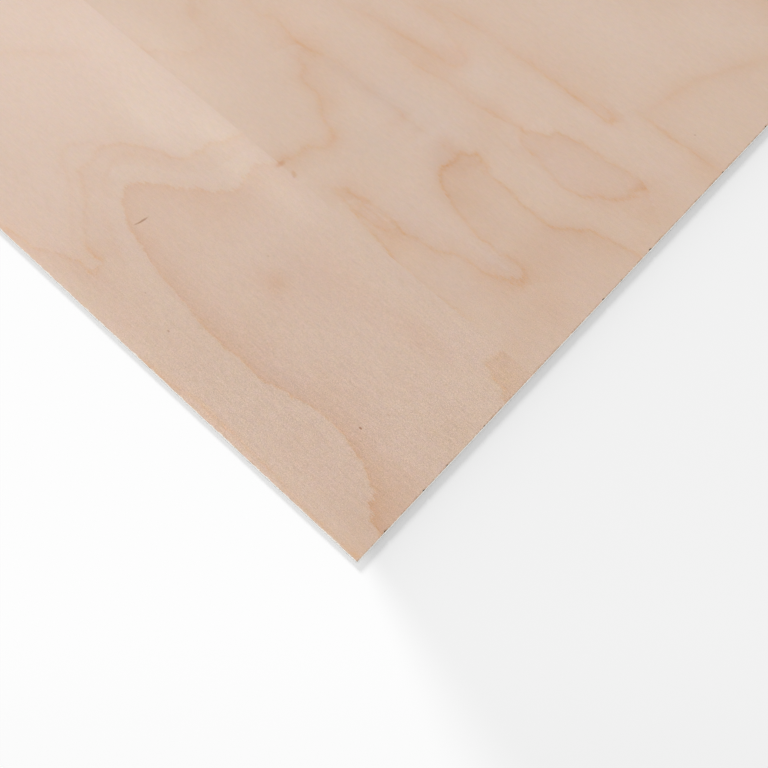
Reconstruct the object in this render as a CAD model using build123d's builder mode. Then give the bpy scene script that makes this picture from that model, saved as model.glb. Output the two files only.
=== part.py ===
from build123d import *
import os

# A sheet of flexible wood veneer: two leaves of wood, spliced edge to edge on a paper backing.
# X runs along the grain, Y across it, and Z up through the layers.
# The origin is under the middle of the sheet, on the surface that the paper rests on.
# Lengths are in millimetres.

# The sheet and its layers
sheet_length = 600.0  # along the grain
sheet_width = 300.0  # across the grain
paper_thickness = 0.25
wood_thickness = 0.45
paper_margin = 0.2  # paper left bare round the wood, which the knife breaks back a little
edge_leaf_width = 67.0  # the narrower leaf of wood, from its long edge to the splice
corner_radius = 0.4  # the wood's outer corners are slightly blunt

# The chips that the knife breaks out of the wood where it crosses the grain
chip_spacing = 14.0  # mean distance between two chips of one leaf
chip_width = 1.1  # of the widest chip, along the end
chip_depth = 0.35  # of the deepest chip, along the grain
chip_clearance = 3.0  # from the outermost chips to the splice and to the corners
smallest_chip = 0.45  # the smallest chip as a share of the largest
left_end_phase = 0.15  # shifts the chips of one end against those of the other
right_end_phase = 0.5

# Two irrational steps that scatter the chips without ever repeating
place_step = (5**0.5 - 1) / 2
size_step = 2**0.5 - 1

wood_length = sheet_length - 2 * paper_margin
wood_width = sheet_width - 2 * paper_margin
front_edge_y = -wood_width / 2
back_edge_y = wood_width / 2
splice_y = front_edge_y + edge_leaf_width


def end_chips(low_y, high_y):
    """Return x, y, depth and width of each chip in both ends of the leaf between two Y values."""
    run = high_y - low_y - 2 * chip_clearance
    count = max(round(run / chip_spacing), 1)
    chips = []
    for end_x, phase in ((-wood_length / 2, left_end_phase), (wood_length / 2, right_end_phase)):
        for number in range(count):
            place = (phase + number * place_step) % 1
            size = smallest_chip + (1 - smallest_chip) * ((phase + number * size_step) % 1)
            chip_y = low_y + chip_clearance + run * place
            chips.append((end_x, chip_y, chip_depth * size, chip_width * size))
    return chips


# The backing is one rectangle of paper, the full size of the sheet
with BuildPart() as paper_backing:
    with BuildSketch(Plane.XY):
        Rectangle(sheet_length, sheet_width)
    extrude(amount=paper_thickness)

# The narrower leaf lies along the front long edge, up to the splice
with BuildPart() as edge_leaf:
    with BuildSketch(Plane.XY.offset(paper_thickness)) as edge_leaf_outline:
        with Locations((0, front_edge_y)):
            Rectangle(wood_length, edge_leaf_width, align=(Align.CENTER, Align.MIN))
        fillet(edge_leaf_outline.vertices().group_by(Axis.Y)[0], corner_radius)
        for chip_x, chip_y, depth, width in end_chips(front_edge_y, splice_y):
            with Locations((chip_x, chip_y)):
                Ellipse(depth, width / 2, mode=Mode.SUBTRACT)
    extrude(amount=wood_thickness)

# The wider leaf starts at the splice, tight against the narrower one
with BuildPart() as main_leaf:
    with BuildSketch(Plane.XY.offset(paper_thickness)) as main_leaf_outline:
        with Locations((0, splice_y)):
            Rectangle(wood_length, back_edge_y - splice_y, align=(Align.CENTER, Align.MIN))
        fillet(main_leaf_outline.vertices().group_by(Axis.Y)[-1], corner_radius)
        for chip_x, chip_y, depth, width in end_chips(splice_y, back_edge_y):
            with Locations((chip_x, chip_y)):
                Ellipse(depth, width / 2, mode=Mode.SUBTRACT)
    extrude(amount=wood_thickness)

paper_backing.part.label = "paper_backing"
edge_leaf.part.label = "edge_leaf"
main_leaf.part.label = "main_leaf"

os.makedirs("parts", exist_ok=True)
export_step(paper_backing.part, "parts/paper_backing.step")
export_step(edge_leaf.part, "parts/edge_leaf.step")
export_step(main_leaf.part, "parts/main_leaf.step")
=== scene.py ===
import math
from functools import partial

import bpy
import numpy as np
from mathutils import Matrix, Vector, kdtree


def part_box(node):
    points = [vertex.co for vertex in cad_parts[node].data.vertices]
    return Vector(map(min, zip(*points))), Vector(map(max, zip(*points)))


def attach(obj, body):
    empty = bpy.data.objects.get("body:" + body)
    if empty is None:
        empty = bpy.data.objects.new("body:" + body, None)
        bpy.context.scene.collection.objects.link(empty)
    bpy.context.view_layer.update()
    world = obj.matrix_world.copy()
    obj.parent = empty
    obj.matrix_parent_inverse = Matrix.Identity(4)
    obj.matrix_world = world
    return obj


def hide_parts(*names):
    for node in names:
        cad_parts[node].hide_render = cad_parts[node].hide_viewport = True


# A sheet of spliced, paper-backed wood veneer lying on a pale floor, seen from close above one corner.
# The wood's figure is drawn from its growth lines, which each leaf's mesh carries as distances.
# Lengths are in metres, or in millimetres where a name or comment says so.

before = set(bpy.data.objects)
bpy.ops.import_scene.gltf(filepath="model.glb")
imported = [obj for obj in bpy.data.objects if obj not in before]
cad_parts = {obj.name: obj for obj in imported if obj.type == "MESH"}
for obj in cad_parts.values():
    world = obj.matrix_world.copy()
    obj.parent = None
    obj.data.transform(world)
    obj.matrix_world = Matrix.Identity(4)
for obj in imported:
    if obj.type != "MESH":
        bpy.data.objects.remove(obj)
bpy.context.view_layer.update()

MM = 0.001
SHEET_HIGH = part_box("paper_backing")[1]
EDGE_LOW, EDGE_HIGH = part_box("edge_leaf")
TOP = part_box("main_leaf")[1].z
CORNER = Vector((EDGE_HIGH.x, EDGE_LOW.y, TOP))  # the wood's corner that the camera sees

# The camera, as the wood's edges and splice in the photograph give it
PHOTO_SIDE = 768  # pixels
FOCAL_PIXELS = 1072.7
CORNER_PIXEL = (357.1, 561.7)
CAMERA_AZIMUTH = math.radians(42.89)
CAMERA_ELEVATION = math.radians(70.24)
CAMERA_HEIGHT = 264.2 * MM  # above the wood
SENSOR = 36.0  # mm


def camera_axes():
    """Return the camera's right, up and back directions in the row frame."""
    a, e = CAMERA_AZIMUTH, CAMERA_ELEVATION
    back = Vector((math.sin(a) * math.cos(e), -math.cos(a) * math.cos(e), math.sin(e)))
    right = Vector((math.cos(a), math.sin(a), 0))
    return right, back.cross(right), back


RIGHT, UP, BACK = camera_axes()


def pixel_ray(pixel):
    """Return the direction in which the camera sees a pixel of the photograph."""
    across = pixel[0] - PHOTO_SIDE / 2
    down = pixel[1] - PHOTO_SIDE / 2
    return RIGHT * across - UP * down - BACK * FOCAL_PIXELS


def camera_place():
    """Return where the camera stands, so that the sheet's corner falls on its pixel."""
    ray = pixel_ray(CORNER_PIXEL)
    return CORNER - ray * (CAMERA_HEIGHT / -ray.z)


CAMERA_AT = camera_place()


def on_sheet(pixel):
    """Return x and y of the point of the wood's top that shows at a pixel of the photograph."""
    ray = pixel_ray(pixel)
    hit = CAMERA_AT + ray * (CAMERA_HEIGHT / -ray.z)
    return hit.x, hit.y


# The growth lines that the photograph shows, each as points in its pixels with the line's strength
# at that point. DARK_LEFT means that the brown tone fades away to the left of the line's direction.
DARK_LEFT, DARK_RIGHT = 1, -1


def growth_line(dark, fade, core=1.0, both=0.7, points=None, places=None, reach=12.0, spread=5.0,
                shift=0.0, group=0):
    """Describe a growth line by its points in the photograph or its places on the sheet.

    core is the strength of its sharp orange edge, fade that of the brown that fades away on its dark side
    within reach mm, and both that of the tone that fades away on both sides within spread mm. shift moves
    the edge towards the dark side, in mm.
    """
    return dict(dark=dark, core=core, fade=fade, both=both, points=points, places=places,
                reach=reach, spread=spread, shift=shift, group=group)


# Lines of the narrower leaf
EDGE_LEAF_LINES = [
    # the faint band near the top
    growth_line(DARK_LEFT, core=0.35, fade=0.0, both=0.85, spread=2.5, points=[
        (-30, 52, 0.3), (0, 53, 0.4), (20, 52, 0.5), (40, 53, 0.55), (60, 55, 0.4), (80, 51, 0.35),
        (95, 47, 0)]),
    # the first tongue, from the splice round to its cusp
    growth_line(DARK_LEFT, core=1.25, fade=1.0, both=0.85, spread=1.2, shift=0.15, points=[
        (242, 135, 0.5), (232, 138, 0.6), (222, 142, 0.6), (212, 142, 0.6), (206, 146, 0.6),
        (203, 151, 0.6), (195, 153, 0.6), (190, 157, 0.6), (180, 158, 0.7), (170, 156, 0.7),
        (160, 151, 0.6), (150, 149, 0.6), (137, 146, 0.6), (125, 144, 0.65), (115, 144, 0.65),
        (108, 145, 0.65), (101, 147, 0.6), (97, 151, 0.6), (94, 156, 0.6), (91, 162, 0.55), (86, 165, 0.5),
        (79, 169, 0.6), (80, 176, 0.6), (82, 184, 0.6), (84, 192, 0.55), (85, 200, 0.5), (84, 210, 0.45),
        (84, 222, 0.45), (84, 232, 0.45), (84, 240, 0.55), (86, 247, 0.8), (89, 251, 1.0), (94, 256, 1.1),
        (100, 260, 1.0), (103, 264, 0.5)]),
    # the second branch, from the cusp out to the left
    growth_line(DARK_LEFT, core=1.8, fade=0.9, both=0.65, spread=3.0, shift=-0.1, points=[
        (102, 266, 0.5), (97, 268, 0.9), (96, 271, 1.0), (90, 272, 1.0), (86, 268, 0.8), (83, 264, 0.8),
        (79, 261, 0.8), (72, 261, 0.7), (66, 257, 0.6), (58, 255, 0.55), (50, 252, 0.5), (43, 250, 0.55),
        (33, 247, 0.5), (26, 242, 0.55), (19, 238, 0.6), (11, 233, 0.8), (5, 228, 0.7), (-4, 223, 0.6),
        (-30, 212, 0.6)]),
    # the large tongue, from the splice round and down to the end of the sheet
    growth_line(DARK_LEFT, core=1.1, fade=2.0, both=0.3, reach=9, spread=1.5, shift=0.17, points=[
        (275, 161, 0.5), (270, 163, 0.5), (262, 164, 0.5), (254, 166, 0.5), (250, 170, 0.6),
        (247, 175, 0.7), (242, 176, 0.6), (243, 180, 0.6), (240, 185, 0.7), (237, 188, 0.8),
        (231, 190, 0.7), (222, 191, 0.75), (212, 191, 0.7), (204, 190, 0.8), (197, 188, 0.8),
        (188, 189, 0.7), (180, 188, 0.7), (172, 187, 0.8), (165, 184, 0.9), (155, 184, 0.8),
        (145, 183, 0.85), (135, 183, 0.9), (127, 186, 0.85), (124, 190, 0.8), (123, 196, 0.8),
        (122, 203, 0.8), (124, 210, 0.8), (126, 218, 0.85), (129, 226, 0.8), (132, 232, 0.9),
        (137, 240, 1.0), (142, 247, 1.1), (146, 255, 0.95), (151, 262, 0.85), (156, 270, 0.9),
        (162, 277, 0.9), (168, 284, 0.9), (174, 291, 0.9), (180, 299, 0.9), (185, 305, 0.85),
        (190, 310, 0.9), (195, 317, 0.9), (200, 323, 1.0), (207, 331, 1.0), (213, 336, 1.0),
        (220, 342, 1.05), (224, 348, 1.1), (230, 352, 1.0), (238, 357, 1.0), (243, 362, 1.0),
        (250, 369, 1.1), (256, 375, 1.0), (260, 379, 1.0), (266, 383, 1.0), (275, 387, 1.05),
        (283, 391, 1.0), (291, 397, 1.05), (300, 401, 1.1), (308, 405, 1.0), (315, 409, 0.95),
        (321, 414, 0.9), (328, 420, 0.9), (334, 425, 0.9), (339, 430, 0.9), (344, 436, 0.9),
        (349, 443, 1.0), (353, 450, 1.1), (358, 458, 1.1), (363, 463, 0.9), (366, 471, 1.1),
        (369, 479, 1.0), (372, 486, 1.0), (374, 493, 1.1), (373, 500, 1.3), (370, 507, 1.5),
        (373, 513, 1.4), (372, 519, 1.5), (375, 526, 1.4), (379, 532, 1.3), (382, 539, 1.2)]),
    # the band along the long edge
    growth_line(DARK_RIGHT, core=1.4, fade=0.0, both=0.55, spread=1.0, shift=0.12, points=[
        (138, 355, 0.2), (143, 360, 0.7), (150, 366, 0.8), (158, 373, 0.9), (163, 379, 0.9),
        (170, 384, 0.7), (178, 389, 0.55), (186, 393, 0.6), (194, 397, 0.6), (200, 402, 0.65),
        (207, 409, 0.7), (213, 415, 0.65), (220, 421, 0.6), (228, 428, 0.8), (233, 433, 0.9),
        (238, 437, 0.7), (250, 451, 0.55), (258, 459, 0.6), (264, 464, 0.9), (272, 472, 0.65),
        (280, 480, 0.7), (287, 488, 0.65), (292, 494, 0.7), (297, 500, 0.7), (303, 506, 0.8),
        (308, 510, 0.8), (313, 517, 0.7), (320, 522, 0.9), (326, 529, 0.6), (335, 536, 0.5),
        (345, 546, 0.7), (352, 552, 1.1), (358, 556, 1.0)]),
    # the brown patch where the splice meets the end
    growth_line(DARK_LEFT, core=1.2, fade=1.4, both=0.1, shift=0.17, points=[
        (510, 352, 0.8), (506, 351, 1.0), (500, 354, 0.9), (494, 357, 0.9), (488, 361, 1.0),
        (487, 366, 1.0), (490, 372, 0.9), (492, 378, 1.0), (498, 384, 1.0), (503, 388, 1.1),
        (505, 394, 1.1), (503, 399, 1.0), (507, 404, 0.9)]),
    # faint lines outside and inside the first tongue
    growth_line(DARK_LEFT, core=0.0, fade=0.0, both=0.7, spread=1.0, group=1, points=[
        (104, 143, 0.2), (92, 143, 0.6), (80, 144, 0.8), (70, 145, 0.8), (64, 149, 0.8), (62, 156, 0.8),
        (63, 164, 0.8), (66, 172, 0.9), (69, 181, 0.8), (71, 192, 0.7), (71, 206, 0.7), (72, 220, 0.8),
        (72, 233, 0.7), (74, 245, 0.3)]),
    growth_line(DARK_LEFT, core=0.0, fade=0.0, both=0.7, spread=1.2, group=2, points=[
        (165, 163, 0.2), (150, 158, 0.5), (136, 155, 0.7), (124, 155, 0.8), (115, 159, 0.8),
        (110, 166, 0.8), (107, 176, 0.8), (106, 188, 0.8), (106, 202, 0.7), (107, 216, 0.7),
        (110, 229, 0.8), (115, 242, 0.8), (122, 255, 0.6), (130, 267, 0.2)]),
]

# Lines of the wider leaf, nearest the splice first
MAIN_LEAF_LINES = [
    # the pale bay at the top of the splice
    growth_line(DARK_RIGHT, core=0.7, fade=1.25, both=0.8, points=[
        (139, 48, 0.9), (146, 50, 0.8), (153, 51, 0.6), (160, 50, 0.4), (172, 52, 0.45), (185, 52, 0.5),
        (195, 51, 0.45), (202, 47, 0.4), (205, 40, 0.45), (203, 33, 0.35), (196, 24, 0.35), (190, 17, 0.45),
        (188, 10, 0.45), (190, 0, 0.4), (196, -14, 0.4)]),
    # the long fine line above the first loop
    growth_line(DARK_LEFT, core=1.1, fade=0.0, both=1.3, points=[
        (238, -16, 0.2), (248, 0, 0.2), (254, 10, 0.25), (262, 16, 0.4), (270, 16, 0.6), (278, 21, 0.6),
        (284, 28, 0.75), (290, 36, 0.9), (297, 42, 1.2), (305, 47, 1.2), (313, 51, 1.1), (320, 54, 0.8),
        (330, 58, 0.4), (340, 65, 0.4), (350, 72, 0.35), (358, 80, 0.35), (370, 90, 0.45), (380, 98, 0.3),
        (390, 104, 0.35), (400, 112, 0.7), (404, 118, 0.9), (412, 123, 0.4), (420, 129, 0.6),
        (426, 135, 0)]),
    # the loop that comes back to the splice
    growth_line(DARK_LEFT, core=1.0, fade=0.45, both=1.0, spread=2.5, shift=0.12, points=[
        (298, 46, 0.3), (299, 54, 0.6), (300, 62, 0.6), (303, 66, 0.9), (303, 71, 0.9), (301, 77, 1.0),
        (304, 82, 0.9), (309, 87, 0.9), (315, 92, 0.9), (319, 98, 1.0), (320, 105, 1.0), (321, 112, 1.0),
        (323, 119, 0.9), (327, 126, 0.8), (331, 131, 0.9), (333, 137, 1.0), (330, 142, 0.9),
        (325, 147, 0.8), (317, 147, 0.9), (308, 146, 1.1), (303, 150, 1.1), (299, 154, 1.0),
        (292, 157, 1.0), (284, 158, 1.1), (276, 163, 1.2)]),
    # the jagged line that runs on from the splice
    growth_line(DARK_RIGHT, core=1.3, fade=0.2, both=0.9, reach=8, shift=0.0, points=[
        (326, 183, 0.2), (333, 188, 0.5), (340, 190, 0.7), (347, 189, 1.0), (350, 193, 1.1),
        (356, 196, 1.0), (363, 199, 1.0), (369, 201, 0.9), (375, 206, 0.45), (383, 212, 0.6),
        (389, 217, 0.7), (396, 224, 0.9), (400, 229, 0.9), (404, 233, 0.9), (410, 236, 0.9),
        (416, 239, 1.0), (422, 243, 1.0), (428, 246, 0.9), (435, 250, 1.1), (442, 253, 1.0),
        (450, 253, 1.1), (457, 254, 0.8), (463, 258, 0.8), (470, 262, 0.9), (477, 267, 0.9),
        (482, 272, 1.2), (488, 274, 1.2), (495, 276, 1.2), (502, 279, 1.2), (510, 282, 1.2),
        (516, 283, 1.0), (521, 287, 0.8), (527, 292, 0)]),
    # the wisps beside it, and the line that leaves them along the splice
    growth_line(DARK_RIGHT, core=0.35, fade=0.0, both=0.2, spread=1.2, shift=0.2, group=1, points=[
        (333, 191, 0.3), (337, 193, 0.8), (342, 192, 0.9), (347, 192, 1.1), (353, 196, 1.0),
        (359, 198, 0.9), (365, 201, 0.9), (369, 204, 0.7), (374, 208, 0.3)]),
    growth_line(DARK_RIGHT, core=1.2, fade=0.0, both=0.4, spread=1.0, group=2, points=[
        (338, 194, 0.5), (344, 199, 0.8), (350, 206, 0.9), (356, 208, 0.7), (362, 206, 0.5),
        (368, 208, 0.4)]),
    growth_line(DARK_RIGHT, core=1.4, fade=0.0, both=0.5, spread=1.0, group=2, points=[
        (352, 210, 0.8), (357, 213, 1.1), (362, 215, 0.9), (367, 219, 0.8), (371, 223, 0.8),
        (378, 227, 0.9), (385, 230, 0.8), (391, 230, 0.7), (397, 229, 0.8), (403, 232, 0.8)]),
    growth_line(DARK_RIGHT, core=1.0, fade=0.0, both=0.4, spread=0.8, points=[
        (355, 202, 0.3), (361, 205, 0.8), (367, 209, 0.9), (373, 213, 0.8), (380, 219, 0.9),
        (387, 223, 0.6), (393, 226, 0.2)]),
    growth_line(DARK_LEFT, core=1.6, fade=0.75, both=0.4, spread=1.2, shift=-0.1, group=1, points=[
        (353, 211, 0.6), (358, 216, 0.8), (363, 222, 0.7), (368, 228, 0.8), (373, 233, 0.9),
        (378, 239, 1.0), (383, 244, 1.0), (387, 250, 1.2), (391, 255, 1.2), (394, 260, 1.0),
        (400, 264, 0.45), (410, 272, 0.4), (420, 281, 0.4), (430, 290, 0.45), (437, 295, 0.5),
        (445, 301, 0.6), (453, 307, 0.5), (460, 312, 0.5), (470, 319, 0.3), (484, 329, 0.1)]),
    # the large loop, open towards the end of the sheet
    growth_line(DARK_RIGHT, core=1.5, fade=0.6, both=0.85, spread=1.5, shift=-0.04, points=[
        (511, 277, 0.9), (517, 281, 1.2), (523, 280, 1.3), (525, 275, 1.2), (523, 268, 1.0),
        (518, 264, 0.9), (512, 260, 0.9), (505, 256, 0.6), (497, 252, 0.3), (493, 248, 0.5),
        (487, 243, 0.9), (480, 237, 0.8), (474, 231, 0.7), (468, 224, 0.7), (463, 218, 0.8),
        (458, 212, 0.8), (454, 206, 1.0), (450, 199, 1.0), (447, 193, 1.2), (443, 187, 1.3),
        (441, 181, 1.5), (440, 174, 1.7), (443, 168, 1.8), (448, 165, 1.7), (453, 162, 1.5),
        (456, 159, 1.4), (458, 155, 1.3), (463, 153, 1.3), (468, 155, 1.1), (472, 156, 1.2),
        (476, 154, 1.4), (480, 156, 1.2), (481, 160, 0.9), (484, 166, 0.6), (486, 172, 0.3),
        (490, 176, 0.4), (495, 180, 0.7), (502, 185, 0.8), (508, 189, 1.0), (514, 194, 1.0),
        (518, 200, 0.8), (522, 205, 0.8), (530, 210, 0.8), (535, 215, 0.8), (540, 219, 0.9),
        (546, 224, 1.0), (552, 227, 1.2), (560, 229, 1.1), (570, 229, 1.1), (580, 231, 1.2),
        (588, 229, 1.0), (595, 233, 0.8), (602, 237, 0.8), (610, 240, 0.8), (620, 246, 0.9),
        (630, 251, 0.8), (642, 257, 0.8)]),
    # the ragged tip above the large loop
    growth_line(DARK_RIGHT, core=0.4, fade=0.0, both=0.2, spread=1.0, group=2, points=[
        (438, 140, 0.2), (442, 144, 0.8), (447, 147, 0.9), (450, 150, 1.1), (454, 152, 1.1),
        (458, 153, 0.5)]),
    growth_line(DARK_RIGHT, core=1.0, fade=0.0, both=0.5, spread=1.0, group=2, points=[
        (467, 167, 0.3), (471, 165, 0.8), (476, 164, 0.9), (480, 162, 0.9), (484, 162, 1.2),
        (487, 164, 1.1), (487, 169, 1.1), (484, 172, 0.9), (481, 170, 0.4)]),
    # the line that feeds the closed loop
    growth_line(DARK_LEFT, core=1.2, fade=0.7, both=1.0, shift=0.0, group=1, points=[
        (386, 40, 0.1), (395, 48, 0.4), (402, 53, 0.5), (410, 60, 0.6), (420, 67, 0.9), (430, 73, 0.7),
        (440, 78, 0.6), (450, 84, 0.5), (460, 93, 0.55), (470, 101, 0.6), (480, 107, 0.7), (490, 112, 0.9),
        (498, 117, 1.0), (506, 120, 0.8), (513, 124, 0.6), (518, 127, 0.8), (524, 133, 0.4)]),
    # the closed loop, its far side and then its near side
    growth_line(DARK_RIGHT, core=1.1, fade=1.2, both=0.6, spread=1.5, shift=-0.24, points=[
        (519, 126, 0.3), (524, 131, 0.7), (532, 132, 0.8), (540, 134, 0.9), (550, 137, 0.9),
        (556, 132, 0.9), (562, 136, 1.0), (568, 137, 1.0), (575, 141, 1.0), (585, 146, 0.9),
        (592, 151, 0.8), (600, 156, 0.8), (606, 161, 0.8), (613, 164, 0.8), (620, 168, 0.7),
        (628, 173, 0.7), (634, 177, 0.6), (640, 181, 0.8), (643, 186, 1.2), (646, 192, 0.9)]),
    growth_line(DARK_RIGHT, core=1.5, fade=0.5, both=0.85, spread=1.2, shift=0.0, group=2, points=[
        (644, 188, 0.9), (640, 189, 1.1), (632, 191, 0.9), (635, 195, 0.8), (638, 197, 1.0),
        (632, 197, 1.1), (625, 199, 0.9), (619, 199, 1.0), (612, 200, 1.0), (604, 199, 0.9),
        (598, 196, 0.8), (590, 198, 0.9), (582, 197, 0.8), (572, 192, 0.7), (565, 188, 0.7),
        (560, 185, 0.6), (555, 180, 0.7), (550, 174, 0.5), (545, 168, 0.5), (541, 162, 0.4),
        (538, 158, 0.7), (530, 152, 0.8), (524, 147, 0.6), (521, 139, 0.5), (522, 131, 0.3)]),
    # the narrow loop at the top
    growth_line(DARK_RIGHT, core=0.8, fade=0.1, both=1.0, spread=2.5, shift=0.0, points=[
        (330, -4, 0.3), (345, 5, 0.35), (352, 9, 0.4), (360, 12, 0.5), (370, 16, 0.5), (380, 21, 0.5),
        (390, 28, 0.7), (400, 34, 1.0), (410, 39, 1.0), (420, 45, 1.0), (430, 51, 1.0), (440, 58, 0.9),
        (449, 64, 0.8), (457, 66, 0.9), (465, 62, 0.7), (466, 57, 0.6), (460, 50, 0.45), (455, 42, 0.4),
        (450, 35, 0.4), (446, 28, 0.4), (440, 20, 0.6), (432, 14, 0.7), (420, 8, 0.5), (410, 4, 0.3),
        (398, -4, 0.3)]),
    # the long straight line beside it, with the hook at its end
    growth_line(DARK_LEFT, core=1.3, fade=0.2, both=1.45, spread=4.0, shift=-0.2, group=1, points=[
        (408, -10, 0.2), (420, -1, 0.3), (430, 2, 0.35), (445, 8, 0.4), (455, 14, 0.5), (465, 20, 0.6),
        (475, 26, 0.6), (482, 30, 0.5), (490, 34, 0.4), (500, 41, 0.4), (510, 50, 0.5), (520, 57, 0.6),
        (530, 63, 0.8), (540, 71, 0.8), (550, 78, 0.9), (560, 86, 1.0), (570, 93, 1.2), (578, 98, 1.2),
        (585, 103, 0.9), (590, 108, 0.8), (598, 115, 0.8), (605, 120, 0.9), (612, 121, 0.9)]),
    growth_line(DARK_LEFT, core=1.2, fade=0.2, both=0.7, spread=1.5, shift=0.2, group=2, points=[
        (612, 121, 0.9), (613, 116, 0.8), (606, 109, 0.7), (600, 104, 0.6), (592, 98, 0.5), (585, 92, 0.35),
        (576, 86, 0.2)]),
    # the wide soft band and the fine line that leaves it for the end of the sheet
    growth_line(DARK_LEFT, core=0.2, fade=0.4, both=1.1, reach=6, spread=2.5, shift=-0.25, points=[
        (800, 44, 0.4), (768, 57, 0.5), (760, 60, 0.5), (752, 63, 0.7), (742, 66, 0.8), (730, 69, 0.7),
        (720, 73, 0.7), (710, 77, 0.7), (700, 78, 0.8), (692, 82, 0.7), (685, 87, 0.6), (676, 92, 0.8),
        (668, 98, 0.7), (660, 104, 0.5), (652, 108, 0.5), (645, 109, 0.2)]),
    growth_line(DARK_LEFT, core=1.2, fade=0.0, both=1.1, spread=1.5, shift=-0.19, group=1, points=[
        (632, 108, 0.1), (638, 112, 0.3), (645, 117, 0.5), (652, 122, 0.6), (660, 129, 0.8),
        (666, 133, 1.0), (672, 138, 1.0), (680, 143, 0.9), (688, 148, 0.8), (696, 154, 1.0),
        (704, 160, 0.9), (715, 168, 0.6), (727, 176, 0.4)]),
]

# The figure of the rest of the sheet, which the photograph doesn't show: places in mm, along the grain
# from the photographed end and across it from the photographed long edge, with the strength there.
EDGE_LEAF_REST = [
    growth_line(DARK_RIGHT, fade=1.0, places=[
        (600, 50, 0.7), (560, 52, 0.7), (520, 49, 0.8), (480, 46, 0.8), (440, 40, 0.9), (412, 33, 1.0),
        (404, 27, 1.0), (410, 20, 0.9), (436, 15, 0.8), (470, 12, 0.8), (520, 11, 0.7), (560, 8, 0.7),
        (600, 9, 0.7)]),
    growth_line(DARK_RIGHT, fade=0.8, group=1, places=[
        (600, 39, 0.6), (560, 40, 0.7), (520, 37, 0.7), (484, 33, 0.9), (470, 28, 1.0), (478, 22, 0.9),
        (510, 20, 0.8), (560, 18, 0.7), (600, 20, 0.6)]),
    growth_line(DARK_LEFT, fade=0.8, places=[
        (196, 37, 0.4), (214, 33, 0.5), (236, 24, 0.5), (262, 20, 0.6), (286, 24, 0.6), (296, 33, 0.6),
        (284, 43, 0.6), (258, 49, 0.5), (230, 51, 0.5), (206, 56, 0.4), (190, 62, 0.4), (184, 67, 0.4)]),
    growth_line(DARK_LEFT, fade=0.8, group=1, places=[
        (190, 0, 0.5), (214, 6, 0.6), (250, 9, 0.6), (290, 12, 0.7), (330, 20, 0.9), (346, 31, 1.0),
        (338, 43, 0.9), (312, 52, 0.8), (276, 60, 0.6), (250, 67, 0.6)]),
    growth_line(DARK_RIGHT, fade=0.8, group=2, places=[
        (600, 60, 0.5), (540, 61, 0.5), (480, 58, 0.6), (430, 54, 0.6), (380, 60, 0.5), (350, 67, 0.5)]),
]
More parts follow.
